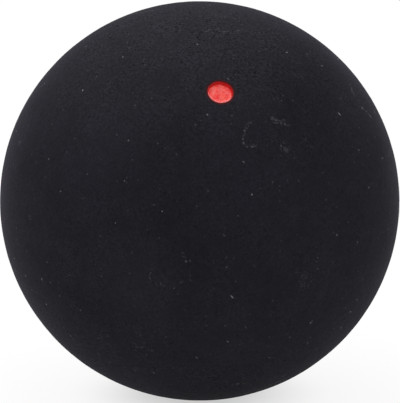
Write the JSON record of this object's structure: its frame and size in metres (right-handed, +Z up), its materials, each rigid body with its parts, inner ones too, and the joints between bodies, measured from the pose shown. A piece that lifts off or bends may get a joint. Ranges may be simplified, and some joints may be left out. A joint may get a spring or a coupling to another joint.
{
  "type": "squash ball",
  "caption": "Hollow black rubber squash ball of two cemented half shells, with a buffed matt surface and a small red dot painted into a shallow pit.",
  "frame": {"origin": "centre of the ball", "axes": "+Z up, square to the plane of the seam; the dot looks towards -Y and 45 degrees up"},
  "size_m": [0.04, 0.04, 0.04],
  "materials": {
    "ball_rubber": "buffed matt",
    "seam_cement": "cured, matt",
    "dot_paint": "flexible ink, satin"
  },
  "bodies": {
    "root": {"upper_half_shell": "ball_rubber", "lower_half_shell": "ball_rubber", "seam_cement": "seam_cement", "dot_paint": "dot_paint"}
  },
  "joints": []
}
